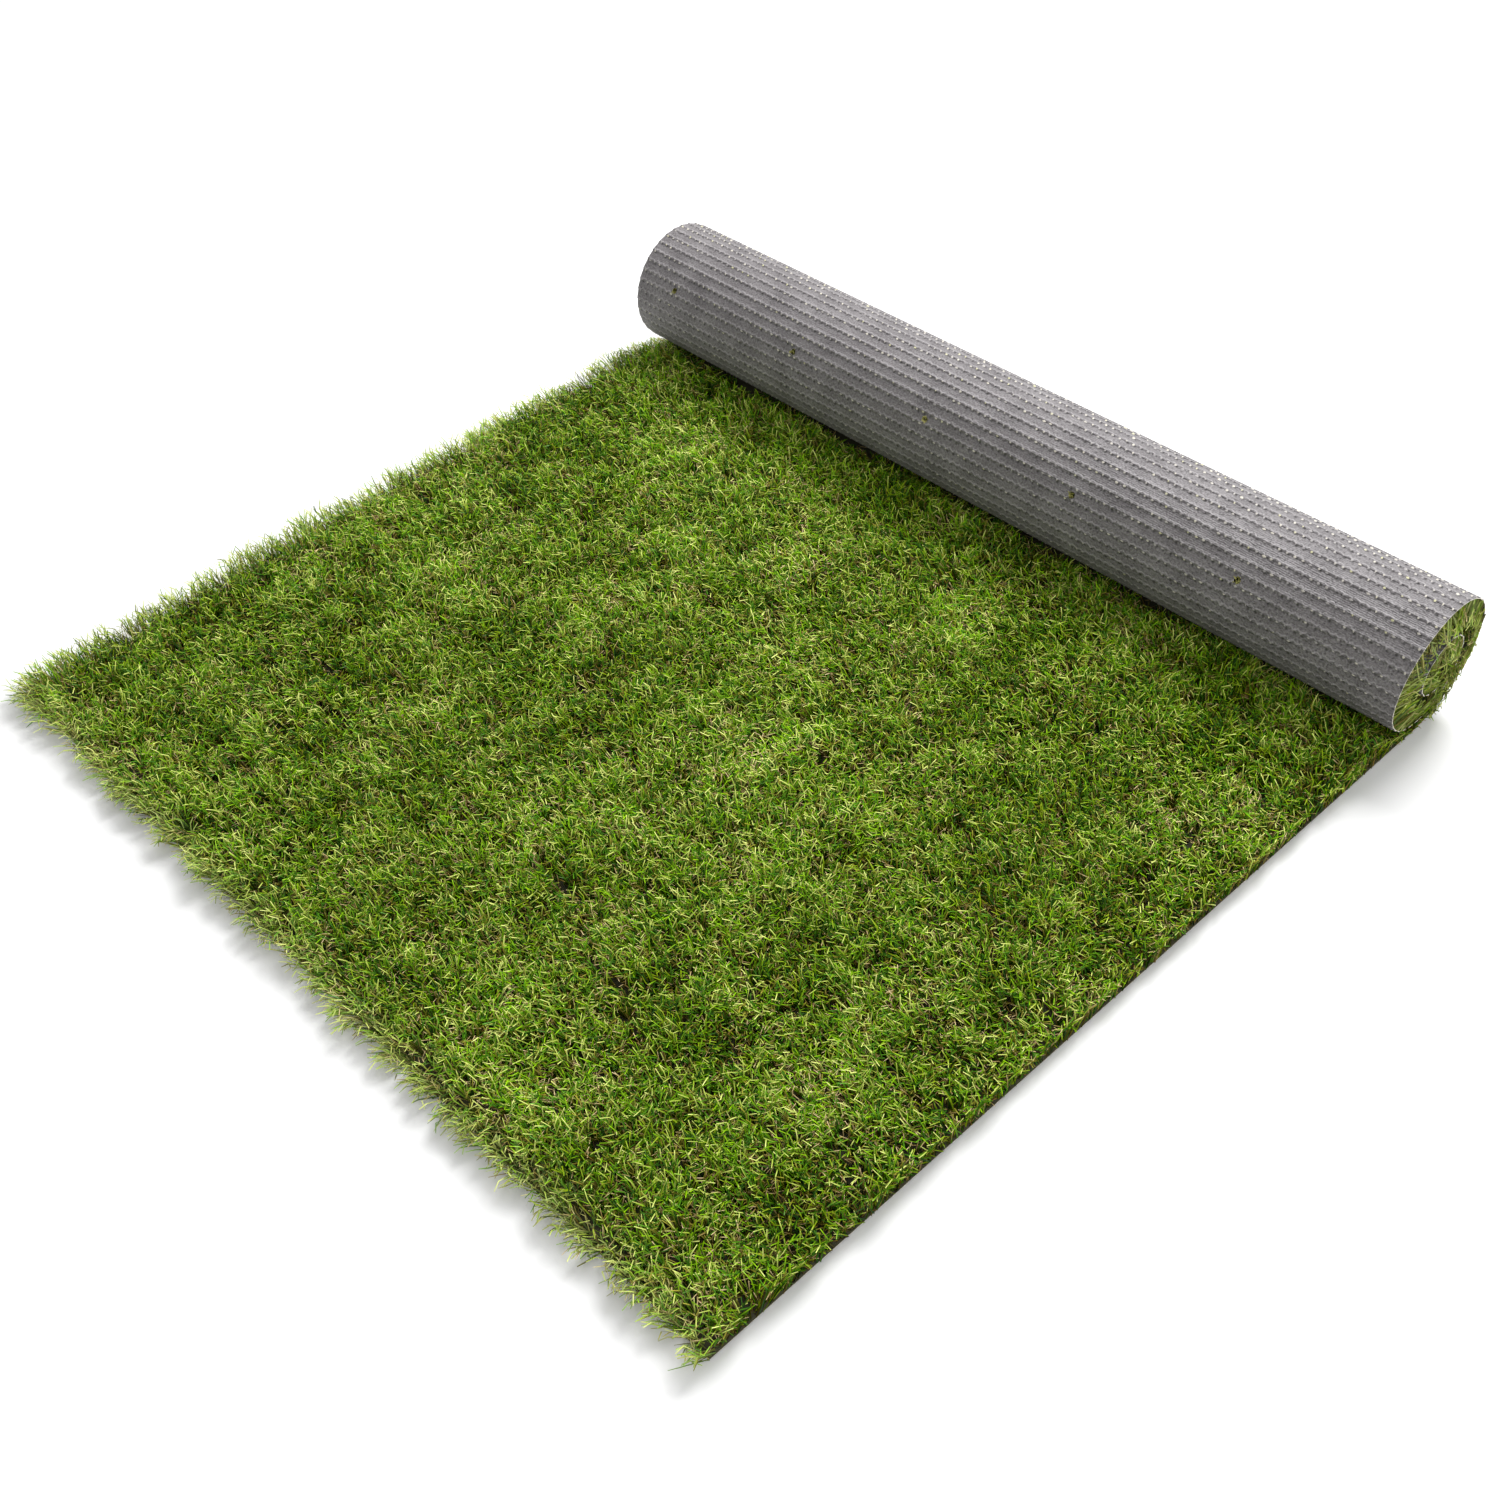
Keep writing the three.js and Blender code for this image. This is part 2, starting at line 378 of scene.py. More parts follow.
def woven_relief_group():
    """What the tufting does to the coated face: ribs of cloth, a lump at each stitch and a pit beside it. Its
    masks also carry painted shade in the pits and at the foot of each step, and a painted highlight along
    each crest.
    """
    tree, given, out = new_shader_group(
        "woven_relief",
        {
            "Rib spacing": ("NodeSocketFloat", rib_spacing),
            "Row spacing": ("NodeSocketFloat", row_spacing),
            "Stitch spacing": ("NodeSocketFloat", stitch_step),
            "Pit size": ("NodeSocketFloat", pit_reach),
        },
        {
            "Relief": "NodeSocketFloat",
            "Pit": "NodeSocketFloat",
            "Crest highlight": "NodeSocketFloat",
            "Grain": "NodeSocketFloat",
        },
    )

    def calc(operation, *values, clamp=False):
        return sum_up(tree, operation, *values, clamp=clamp)

    def off(value, spacing, shift):
        """How far a place is from the nearest of the lines at this spacing and shift."""
        share = calc("SUBTRACT", calc("DIVIDE", calc("SUBTRACT", value, shift), spacing), 0.5)
        return calc("MULTIPLY", calc("SUBTRACT", calc("FRACT", share), 0.5), spacing)

    def spot(dx, dy, size):
        away = calc("SQRT", calc("ADD", calc("MULTIPLY", dx, dx), calc("MULTIPLY", dy, dy)))
        return calc("SUBTRACT", 1.0, calc("DIVIDE", away, size), clamp=True)

    uv = add_node(tree, "ShaderNodeUVMap", uv_map="sheet")
    flat = add_node(tree, "ShaderNodeSeparateXYZ", {0: uv.outputs[0]})
    x = calc("MULTIPLY", flat.outputs[0], sheet_width)
    along = calc("MULTIPLY", flat.outputs[1], sheet_length)
    place = add_node(tree, "ShaderNodeCombineXYZ", {0: x, 1: along}).outputs[0]
    wobble = noise_over(tree, place, weave_sway_scale, 2.0)
    sway = calc("MULTIPLY", calc("SUBTRACT", wobble, 0.5), weave_sway)
    x = calc("ADD", x, sway)
    along = calc("ADD", along, sway)
    ribs = calc("DIVIDE", along, given["Rib spacing"])
    rib_wave = calc("ABSOLUTE", calc("SINE", calc("MULTIPLY", ribs, math.pi)))
    from_stitch = off(x, given["Stitch spacing"], stitch_step / 2)
    scallop = calc("DIVIDE", calc("ABSOLUTE", from_stitch), given["Stitch spacing"])
    scallop = calc("MULTIPLY", scallop, scallop_depth)
    from_row = off(along, given["Row spacing"], row_start)
    lump = spot(from_stitch, calc("ADD", from_row, lump_back), lump_reach)
    from_pit = off(x, given["Stitch spacing"], stitch_step / 2 + pit_aside)
    # A small hole beside each stitch: it dents the relief, and its dark colour is painted shade.
    pit = spot(from_pit, calc("SUBTRACT", from_row, pit_onward), given["Pit size"])
    # A line at the foot of each ridge's step, darkened in colour: painted shade where the step's shadow
    # falls.
    groove = calc("DIVIDE", calc("ABSOLUTE", calc("ADD", from_row, scallop)), crest_width)
    groove = calc("SUBTRACT", 1.0, groove, clamp=True)
    # A band along each ridge's crest where the latex is painted paler: a painted highlight.
    crest = calc("ABSOLUTE", calc("ADD", from_row, calc("ADD", scallop, crest_back)))
    crest = calc("DIVIDE", crest, crest_width)
    crest = calc("SUBTRACT", 1.0, crest, clamp=True)
    patch = noise_over(tree, place, pit_patch_scale, 1.0)
    some = calc("MULTIPLY", calc("SUBTRACT", patch, pit_patch_level), pit_patch_gain, clamp=True)
    pit = calc("MULTIPLY", calc("POWER", pit, 0.5), some)
    pit = calc("MAXIMUM", pit, calc("MULTIPLY", groove, groove_painted_shade))
    speck = noise_over(tree, place, speck_scale, 2.0)
    speck = calc("MULTIPLY", calc("SUBTRACT", speck, speck_level), speck_gain, clamp=True)
    pit = calc("MAXIMUM", pit, calc("MULTIPLY", speck, speck_darkness))
    grain = noise_over(tree, place, grain_scale, 3.0)
    tree.links.new(pit, out["Pit"])
    tree.links.new(crest, out["Crest highlight"])
    tree.links.new(grain, out["Grain"])
    relief = calc("ADD", calc("MULTIPLY", rib_wave, rib_relief), calc("MULTIPLY", grain, grain_relief))
    relief = calc("ADD", relief, lump)
    relief = calc("SUBTRACT", relief, pit)
    tree.links.new(relief, out["Relief"])
    return tree


def latex_material():
    material, tree, surface = new_material("latex_coat")
    weave = add_node(tree, "ShaderNodeGroup", node_tree=woven_relief).outputs
    place = add_node(tree, "ShaderNodeTexCoord").outputs["Object"]
    cloud = noise_over(tree, place, cloud_scale, 5.0)
    grain = sum_up(tree, "MULTIPLY", sum_up(tree, "SUBTRACT", weave["Grain"], grain_level), grain_gain)
    tone = sum_up(tree, "ADD", cloud, grain)
    # Painted highlight: the latex is paler along each ridge's crest.
    tone = sum_up(tree, "ADD", tone, sum_up(tree, "MULTIPLY", weave["Crest highlight"], painted_crest_highlight))
    tone = sum_up(tree, "SUBTRACT", tone, tone_drop, clamp=True)

    def blend(share, one, other):
        node = add_node(tree, "ShaderNodeMix", {0: share, 6: one, 7: other}, data_type="RGBA")
        return node.outputs[2]

    colour = blend(tone, latex_grey, latex_pale)
    # Painted shade: the pits and the foot of each step are darkened towards near black, along with the dark
    # specks of the weave.
    colour = blend(sum_up(tree, "MULTIPLY", weave["Pit"], pit_shade_strength), colour, pit_shade_colour)
    tree.links.new(colour, surface.inputs["Base Color"])
    roughness = sum_up(tree, "MULTIPLY", weave["Grain"], latex_uneven)
    roughness = sum_up(tree, "ADD", roughness, latex_gloss)
    tree.links.new(roughness, surface.inputs["Roughness"])
    bump = add_node(tree, "ShaderNodeBump", {"Height": weave["Relief"], "Distance": relief_depth})
    bump.inputs["Strength"].default_value = 1.0
    tree.links.new(bump.outputs[0], surface.inputs["Normal"])
    surface.inputs["Specular IOR Level"].default_value = 0.5
    return material


def primary_cloth_material():
    material, tree, surface = new_material("primary_cloth")
    weave = add_node(tree, "ShaderNodeGroup", node_tree=woven_relief)
    colour = add_node(
        tree,
        "ShaderNodeMix",
        {0: weave.outputs["Grain"], 6: primary_colour, 7: primary_worn},
        data_type="RGBA",
    ).outputs[2]
    tree.links.new(colour, surface.inputs["Base Color"])
    surface.inputs["Roughness"].default_value = 0.9
    return material


def cut_edge_material():
    material, tree, surface = new_material("cut_edge")
    place = add_node(tree, "ShaderNodeTexCoord").outputs["Object"]
    fray = sum_up(tree, "MULTIPLY", noise_over(tree, place, fray_scale, 3.0), fray_gain, clamp=True)
    colour = add_node(
        tree,
        "ShaderNodeMix",
        {0: fray, 6: latex_grey, 7: cut_edge_colour},
        data_type="RGBA",
    ).outputs[2]
    tree.links.new(colour, surface.inputs["Base Color"])
    surface.inputs["Roughness"].default_value = 0.85
    return material


def place_piece(name, mesh):
    """A finished piece at the origin, which rides with the part."""
    piece = bpy.data.objects.new(name, mesh)
    scene.collection.objects.link(piece)
    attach(piece, "root")
    return piece


woven_relief = woven_relief_group()
sheet_mesh = backing_mesh()
for finish in (latex_material(), primary_cloth_material(), cut_edge_material()):
    sheet_mesh.materials.append(finish)
backing = place_piece("backing_sheet", sheet_mesh)
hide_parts("backing")

# The path that the yarn follows
# A line along the middle of the sheet, which knows at each point how high the pile stands there: less
# where another turn of the roll lies on it.
path_step = 6 * MM
pile_full_height = 28 * MM
free_run = flat_run - 2 * outer_front_radius


def sheet_path_object():
    """The sheet's section as a line of edges, with the room for the pile at each point."""
    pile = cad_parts["grass_pile"]
    solid = BVHTree.FromObject(pile, bpy.context.evaluated_depsgraph_get())
    count = int(sheet_length / path_step)
    stations = [sheet_length * i / count for i in range(count + 1)]
    room = []
    for along in stations:
        _, y, z = sheet_point(0, along, 3 * MM)
        heading = sheet_place(along)[2]
        way = Vector((0, -math.sin(heading), math.cos(heading)))
        hit = solid.ray_cast(Vector((0, y, z)), way)
        covered = hit[0] is not None and along > free_run
        room.append(min(hit[3] + 1 * MM, pile_full_height) if covered else pile_full_height)
    mesh = bpy.data.meshes.new("sheet_path")
    mesh.from_pydata(
        [sheet_point(0, along, 0) for along in stations],
        [(i, i + 1) for i in range(count)],
        [],
    )
    mesh.attributes.new("room", "FLOAT", "POINT").data.foreach_set("value", room)
    return mesh


sheet_path = sheet_path_object()


def new_growth(name, inputs):
    """A geometry node tree that takes the sheet's path, with named inputs: {name: (kind, value)}."""
    tree = bpy.data.node_groups.new(name, "GeometryNodeTree")
    tree.interface.new_socket("Geometry", in_out="OUTPUT", socket_type="NodeSocketGeometry")
    tree.interface.new_socket("Geometry", in_out="INPUT", socket_type="NodeSocketGeometry")
    for title, (kind, value) in inputs.items():
        socket = tree.interface.new_socket(title, in_out="INPUT", socket_type=kind)
        if value is not None:
            socket.default_value = value
    return tree, tree.nodes.new("NodeGroupInput").outputs, tree.nodes.new("NodeGroupOutput").inputs


def move(tree, operation, a, b):
    """The result of a Vector Math node on two vectors, or on a vector and a factor."""
    second = 3 if operation == "SCALE" else 1
    return add_node(tree, "ShaderNodeVectorMath", {0: a, second: b}, operation=operation).outputs[0]


def combine(tree, x, y, z):
    return add_node(tree, "ShaderNodeCombineXYZ", {0: x, 1: y, 2: z}).outputs[0]


def any_number(tree, low, high, identity, seed):
    """A random number from low to high for each identity."""
    node = add_node(tree, "FunctionNodeRandomValue", data_type="FLOAT")
    for key, value in ((2, low), (3, high), (7, identity), (8, seed)):
        if isinstance(value, bpy.types.NodeSocket):
            tree.links.new(value, node.inputs[key])
        else:
            node.inputs[key].default_value = value
    return node.outputs[1]


def keep_as(tree, geometry, name, kind, value, domain="POINT"):
    """Geometry that carries a value under a name."""
    node = add_node(tree, "GeometryNodeStoreNamedAttribute", {"Geometry": geometry, "Name": name})
    node.data_type = kind
    node.domain = domain
    tree.links.new(value, node.inputs["Value"])
    return node.outputs[0]


def kept(tree, name, kind):
    """A value that the geometry carries."""
    return add_node(tree, "GeometryNodeInputNamedAttribute", {"Name": name}, data_type=kind).outputs[0]


def spread_on_sheet(tree, given, each):
    """Points at each stitch of the sheet, so many to a stitch, and where they stand: x, along and stitch."""
    line = add_node(tree, "GeometryNodeMeshToCurve", {"Mesh": given["Geometry"]}).outputs[0]
    length = add_node(tree, "GeometryNodeCurveLength", {"Curve": line}).outputs[0]
    run = sum_up(tree, "SUBTRACT", length, given["First row"])
    rows = sum_up(tree, "FLOOR", sum_up(tree, "DIVIDE", run, given["Row spacing"]))
    columns = sum_up(tree, "FLOOR", sum_up(tree, "DIVIDE", given["Sheet width"], given["Stitch spacing"]))
    count = sum_up(tree, "MULTIPLY", sum_up(tree, "MULTIPLY", rows, columns), each)
    points = add_node(tree, "GeometryNodePoints", {"Count": count}).outputs[0]
    index = add_node(tree, "GeometryNodeInputIndex").outputs[0]
    stitch = sum_up(tree, "FLOOR", sum_up(tree, "DIVIDE", sum_up(tree, "ADD", index, 0.5), each))
    row = sum_up(tree, "FLOOR", sum_up(tree, "DIVIDE", sum_up(tree, "ADD", stitch, 0.5), columns))
    column = sum_up(tree, "SUBTRACT", stitch, sum_up(tree, "MULTIPLY", row, columns))
    step_x = sum_up(tree, "DIVIDE", given["Sheet width"], columns)
    x = sum_up(tree, "MULTIPLY", sum_up(tree, "ADD", column, 0.5), step_x)
    x = sum_up(tree, "SUBTRACT", x, sum_up(tree, "DIVIDE", given["Sheet width"], 2.0))
    along = sum_up(tree, "ADD", sum_up(tree, "MULTIPLY", row, given["Row spacing"]), given["First row"])
    points = keep_as(tree, points, "stand", "FLOAT_VECTOR", combine(tree, x, along, stitch))
    return line, points


def on_sheet(tree, line, along):
    """The sheet's outer face at a distance along it: place, direction of travel, up to the pile, and room."""
    sample = add_node(tree, "GeometryNodeSampleCurve", mode="LENGTH", data_type="FLOAT")
    tree.links.new(line, sample.inputs["Curves"])
    tree.links.new(kept(tree, "room", "FLOAT"), sample.inputs["Value"])
    tree.links.new(along, sample.inputs["Length"])
    travel = sample.outputs["Tangent"]
    parts = add_node(tree, "ShaderNodeSeparateXYZ", {0: travel}).outputs
    up = combine(tree, 0.0, sum_up(tree, "MULTIPLY", parts[2], -1.0), parts[1])
    return sample.outputs["Position"], travel, up, sample.outputs["Value"]


def grown(tree, name, values):
    """The plain mesh that a tree grows on the sheet's path with these input values."""
    holder = bpy.data.objects.new(name, sheet_path)
    scene.collection.objects.link(holder)
    growth = holder.modifiers.new("growth", "NODES")
    growth.node_group = tree
    for item in tree.interface.items_tree:
        if item.item_type == "SOCKET" and item.in_out == "INPUT" and item.name in values:
            growth[item.identifier] = values[item.name]
    graph = bpy.context.evaluated_depsgraph_get()
    mesh = bpy.data.meshes.new_from_object(holder.evaluated_get(graph), depsgraph=graph)
    bpy.data.objects.remove(holder)
    mesh.name = name
    return mesh


# The stitches
# Where the tufting needle passed, the yarn shows on the coated face as a short pale lump in each stitch,
# half buried in latex, in rows across the sheet.
stitch_length = 6.4 * MM
stitch_depth = 4.0 * MM
stitch_rise = 1.9 * MM
stitch_back = 1.0 * MM
stitch_colours = (
    (0.18, 0.165, 0.17, 1),
    (0.36, 0.34, 0.33, 1),
    (0.62, 0.58, 0.49, 1),
    (0.50, 0.48, 0.28, 1),
)
stitch_shares = (0.0, 0.35, 0.92, 0.98)
stitch_wander = 0.5 * MM
stitch_slip = 0.7 * MM


def stitch_tree():
    tree, given, out = new_growth(
        "stitch_rows",
        {
            "Sheet width": ("NodeSocketFloat", sheet_width),
            "First row": ("NodeSocketFloat", row_start - stitch_back),
            "Row spacing": ("NodeSocketFloat", row_spacing),
            "Stitch spacing": ("NodeSocketFloat", stitch_spacing),
            "Length": ("NodeSocketFloat", stitch_length),
            "Depth": ("NodeSocketFloat", stitch_depth),
            "Rise": ("NodeSocketFloat", stitch_rise),
            "Seed": ("NodeSocketInt", 5),
            "Material": ("NodeSocketMaterial", None),
        },
    )
    line, points = spread_on_sheet(tree, given, 1.0)
    stand = add_node(tree, "ShaderNodeSeparateXYZ", {0: kept(tree, "stand", "FLOAT_VECTOR")}).outputs
    index = add_node(tree, "GeometryNodeInputIndex").outputs[0]

    def vary(low, high, turn):
        return any_number(tree, low, high, index, sum_up(tree, "ADD", given["Seed"], float(turn)))

    along = sum_up(tree, "ADD", stand[1], vary(-stitch_wander, stitch_wander, 1))
    place, travel, up, _ = on_sheet(tree, line, along)
    x = sum_up(tree, "ADD", stand[0], vary(-stitch_slip, stitch_slip, 2))
    place = move(tree, "ADD", place, combine(tree, x, 0.0, 0.0))
    place = move(tree, "ADD", place, move(tree, "SCALE", up, stitch_rise))
    points = keep_as(tree, points, "tint", "FLOAT", vary(0.0, 1.0, 3))
    points = add_node(tree, "GeometryNodeSetPosition", {"Geometry": points, "Position": place}).outputs[0]
    down = move(tree, "SCALE", up, -1.0)
    facing = add_node(
        tree,
        "FunctionNodeAxesToRotation",
        {0: down, 1: travel},
        primary_axis="Z",
        secondary_axis="Y",
    ).outputs[0]
    lump = add_node(
        tree,
        "GeometryNodeMeshCone",
        {"Vertices": 4, "Radius Top": 0.0, "Radius Bottom": 0.5, "Depth": 0.5},
        fill_type="NONE",
    ).outputs[0]
    size = combine(
        tree,
        sum_up(tree, "MULTIPLY", given["Length"], vary(0.7, 1.15, 4)),
        sum_up(tree, "MULTIPLY", given["Depth"], vary(0.7, 1.1, 5)),
        sum_up(tree, "MULTIPLY", given["Rise"], vary(1.6, 2.0, 6)),
    )
    stitches = add_node(
        tree,
        "GeometryNodeInstanceOnPoints",
        {"Points": points, "Instance": lump, "Rotation": facing, "Scale": size},
    ).outputs[0]
    mesh = add_node(tree, "GeometryNodeRealizeInstances", {0: stitches}).outputs[0]
    mesh = add_node(tree, "GeometryNodeSetShadeSmooth", {"Geometry": mesh}).outputs[0]
    painted = add_node(tree, "GeometryNodeSetMaterial", {"Geometry": mesh, "Material": given["Material"]})
    tree.links.new(painted.outputs[0], out["Geometry"])
    return tree


def stitch_material():
    material, tree, surface = new_material("stitch_yarn")
    tint = add_node(tree, "ShaderNodeAttribute", attribute_name="tint").outputs["Fac"]
    ramp = add_node(tree, "ShaderNodeValToRGB", {0: tint})
    stops = ramp.color_ramp.elements
    while len(stops) < len(stitch_colours):
        stops.new(0.5)
    for stop, share, colour in zip(stops, stitch_shares, stitch_colours):
        stop.position = share
        stop.color = colour
    ramp.color_ramp.interpolation = "LINEAR"
    tree.links.new(ramp.outputs[0], surface.inputs["Base Color"])
    surface.inputs["Roughness"].default_value = 0.55
    return material


stitches = place_piece(
    "stitch_rows",
    grown(stitch_tree(), "stitch_rows", {"Material": stitch_material()}),
)

# The pile
# Each tuft holds several kinds of yarn, cut to stand about 28 mm high: polyethylene blades in four greens,
# bent over at their tips, and a lower thatch of curled tan and brown yarn. The pile leans to the left and to
# the front, tufts gather into clumps, and their blades spill over the front and left edges.
blade_length = 31 * MM
lower_share = 0.75
end_depth = 48 * MM
map_name = "OFBake"
cell_fill = 0.8
yarns = {
    # name: (to a tuft, length, width, splay, curl, upper rise, dull colour, bright colour, seed)
    "mid_green_blades": (5, 1.0, 1.25, 0.36, 1.3, 0.45, (0.060, 0.16, 0.001), (0.34, 0.65, 0.004), 11),
    "deep_green_blades": (4, 0.97, 1.3, 0.40, 1.3, 0.45, (0.010, 0.050, 0.001), (0.12, 0.37, 0.012), 23),
    "lime_blades": (4, 1.02, 1.15, 0.42, 1.4, 0.4, (0.25, 0.37, 0.004), (0.92, 0.98, 0.30), 37),
    "olive_blades": (4, 0.9, 1.25, 0.42, 1.4, 0.3, (0.06, 0.055, 0.002), (0.46, 0.42, 0.05), 41),
    "tan_thatch": (4, 0.84, 0.95, 0.7, 2.0, 0.15, (0.20, 0.135, 0.02), (0.98, 0.76, 0.42), 53),
    "brown_thatch": (2, 0.66, 1.1, 0.8, 2.0, 0.1, (0.03, 0.02, 0.002), (0.19, 0.125, 0.02), 67),
}
patch_size = 60 * MM
patch_depth = 0.9
straw_colour = (0.62, 0.66, 0.22, 1)
straw_share = 0.8
shade_patch_scale, patch_level, patch_gain = 14.0, 0.57, 1.6
tint_power, tint_shade = 1.4, 0.8
# Painted shade down in the pile: each blade is darker towards its root and paler to its tip.
height_power, root_shade, tip_shade = 1.5, 0.15, 0.25
dull_roughness, tint_gloss = 0.62, 0.3
thatch_patch_depth = -0.3 * patch_depth
left_lean = -0.22
front_lean = -0.15
tuft_lean = 0.28
clump_size = 30 * MM
clump_lean = 20.0
root_scatter = 1.8 * MM
root_depth = 0.3 * MM
lift_start = 25 * MM
laid_end = 20 * MM
sweep_scale, sweep_lean = 7.0, 1.6
length_least, length_most = 0.78, 1.06
curl_least, curl_most = 0.45, 1.1
rise_least, rise_most = -0.45, 0.5
tip_lean = 1.2
twist = 0.5
tip_taper = 0.5
edge_reach = 19 * MM
edge_spill = 1.25
edge_share = 0.22
edge_gap = 6 * MM
edge_push = 3.8 * MM
edge_scatter = 4.5 * MM
edge_overhang = 1.5 * MM
blade_stand = 24 * MM
edge_droop = 0.7
left_rise = 0.25
right_hold = 0.32
roll_narrow = 0.55
roll_flare = 0.3
back_flare = 0.2
roll_overhang = 0.2
left_overhang = 9.0
roll_rise = 0.5
streak_width = 15 * MM
streak_length = 75 * MM
streak_slant = 0.35
streak_depth = 0.7
back_end = flat_run + 1.6 * outer_back_radius * quarter


def tuft_tree():
    tree, given, out = new_growth(
        "tufted_yarn",
        {
            "Sheet width": ("NodeSocketFloat", sheet_width - 1 * MM),
            "First row": ("NodeSocketFloat", row_start),
            "Row spacing": ("NodeSocketFloat", row_spacing),
            "Stitch spacing": ("NodeSocketFloat", stitch_spacing),
            "Yarns": ("NodeSocketFloat", 4.0),
            "Length": ("NodeSocketFloat", blade_length),
            "Width": ("NodeSocketFloat", 1.3 * MM),
            "Splay": ("NodeSocketFloat", 0.4),
            "Curl": ("NodeSocketFloat", 1.0),
            "Upper rise": ("NodeSocketFloat", 0.5),
            "Patchiness": ("NodeSocketFloat", patch_depth),
            "Flat run": ("NodeSocketFloat", flat_run),
            "End depth": ("NodeSocketFloat", end_depth),
            "Seed": ("NodeSocketInt", 1),
            "Material": ("NodeSocketMaterial", None),
        },
    )

    def calc(operation, *values, clamp=False):
        return sum_up(tree, operation, *values, clamp=clamp)

    def on_circle(turn, reach):
        across = calc("MULTIPLY", calc("COSINE", turn), reach)
        onward = calc("MULTIPLY", calc("SINE", turn), reach)
        return combine(tree, across, onward, 0.0)

    line, points = spread_on_sheet(tree, given, given["Yarns"])
    stand = add_node(tree, "ShaderNodeSeparateXYZ", {0: kept(tree, "stand", "FLOAT_VECTOR")}).outputs
    half = calc("DIVIDE", given["Sheet width"], 2.0)
    from_side = calc("SUBTRACT", half, calc("ABSOLUTE", stand[0]))
    past_lift = calc("GREATER_THAN", stand[1], calc("SUBTRACT", given["Flat run"], lift_start))
    hidden = calc("MULTIPLY", past_lift, calc("GREATER_THAN", from_side, given["End depth"]))
    points = add_node(
        tree, "GeometryNodeDeleteGeometry", {"Geometry": points, "Selection": hidden}, domain="POINT"
    ).outputs[0]
    index = add_node(tree, "GeometryNodeInputIndex").outputs[0]

    def vary(low, high, turn, identity=index):
        return any_number(tree, low, high, identity, calc("ADD", given["Seed"], float(turn)))

    x = calc("ADD", stand[0], vary(-root_scatter, root_scatter, 1))
    side_sign = calc("SIGN", stand[0])
    last = calc("MULTIPLY", calc("LESS_THAN", from_side, edge_gap), side_sign)
    x = calc("ADD", x, calc("MULTIPLY", last, vary(0.0, edge_push, 15)))
    along = calc("ADD", stand[1], vary(-root_scatter, root_scatter, 2))
    first = calc("LESS_THAN", stand[1], edge_gap)
    along = calc("SUBTRACT", along, calc("MULTIPLY", first, vary(-edge_scatter, edge_push, 16)))
    scatter = calc("MULTIPLY", vary(-edge_scatter, edge_scatter, 18), calc("ABSOLUTE", last))
    along = calc("ADD", along, scatter)
    along = calc("MAXIMUM", along, 0.5 * MM)
    place, travel, up, room = on_sheet(tree, line, along)
    root = move(tree, "ADD", place, combine(tree, x, 0.0, 0.0))
    root = move(tree, "ADD", root, move(tree, "SCALE", up, backing_thickness - root_depth))
    squash = calc("DIVIDE", room, pile_full_height)
    laid = calc("LESS_THAN", stand[1], calc("ADD", given["Flat run"], laid_end))
    rolled = calc("SUBTRACT", 1.0, laid)

    flat_place = combine(tree, stand[0], stand[1], 0.0)
    clump = add_node(tree, "ShaderNodeTexVoronoi", {"Vector": flat_place, "Scale": 1 / clump_size})
    inward = move(tree, "SUBTRACT", clump.outputs["Position"], flat_place)
    lie = move(tree, "SCALE", inward, clump_lean)
    sweep = noise_over(tree, flat_place, sweep_scale, 1.0, output=1)
    wave = move(tree, "SCALE", move(tree, "SUBTRACT", sweep, (0.5, 0.5, 0.5)), sweep_lean)
    lie = move(tree, "ADD", lie, wave)
    lie = move(tree, "ADD", lie, on_circle(vary(0.0, math.tau, 3, stand[2]), tuft_lean))
    lie = move(tree, "ADD", lie, on_circle(vary(0.0, math.tau, 4), given["Splay"]))
    lie = move(tree, "ADD", lie, move(tree, "SCALE", (left_lean, front_lean, 0.0), laid))
    at_front = calc("SUBTRACT", 1.0, calc("DIVIDE", along, edge_reach), clamp=True)
    at_left = calc("SUBTRACT", 1.0, calc("DIVIDE", calc("ADD", x, half), edge_reach), clamp=True)
    at_left = calc("MULTIPLY", at_left, laid)
    at_right = calc("DIVIDE", calc("SUBTRACT", half, x), edge_reach)
    at_right = calc("SUBTRACT", 1.0, at_right, clamp=True)
    at_right = calc("MULTIPLY", at_right, laid)
    at_end = calc("SUBTRACT", 1.0, calc("DIVIDE", from_side, edge_reach), clamp=True)
    at_back = calc("MULTIPLY", rolled, calc("LESS_THAN", stand[1], back_end))
    in_roll = calc("MULTIPLY", rolled, roll_flare)
    in_roll = calc("ADD", in_roll, calc("MULTIPLY", at_back, back_flare))
    outward = calc("MULTIPLY", calc("MULTIPLY", at_end, in_roll), side_sign)
    loose = vary(0.0, 1.0, 17)
    loose = calc("ADD", calc("MULTIPLY", calc("POWER", loose, 2.0), edge_spill), edge_share)
    outward = calc("SUBTRACT", outward, calc("MULTIPLY", at_left, loose))
    outward = calc("ADD", outward, calc("MULTIPLY", at_right, right_hold))
    spill = combine(tree, outward, calc("MULTIPLY", calc("MULTIPLY", at_front, loose), -1.0), 0.0)
    narrow = calc("SUBTRACT", 1.0, calc("MULTIPLY", rolled, roll_narrow))
    narrow = combine(tree, narrow, 1.0, 1.0)
    lie = move(tree, "ADD", move(tree, "MULTIPLY", lie, narrow), spill)
    room_beside = calc("ADD", calc("SUBTRACT", half, calc("MULTIPLY", x, side_sign)), edge_overhang)
    cap = calc("DIVIDE", calc("MAXIMUM", room_beside, 0.0), blade_stand)
    on_left = calc("MULTIPLY", calc("LESS_THAN", x, 0.0), laid)
    cap = calc("ADD", cap, calc("MULTIPLY", on_left, left_overhang))
    cap = calc("ADD", cap, calc("MULTIPLY", rolled, roll_overhang))

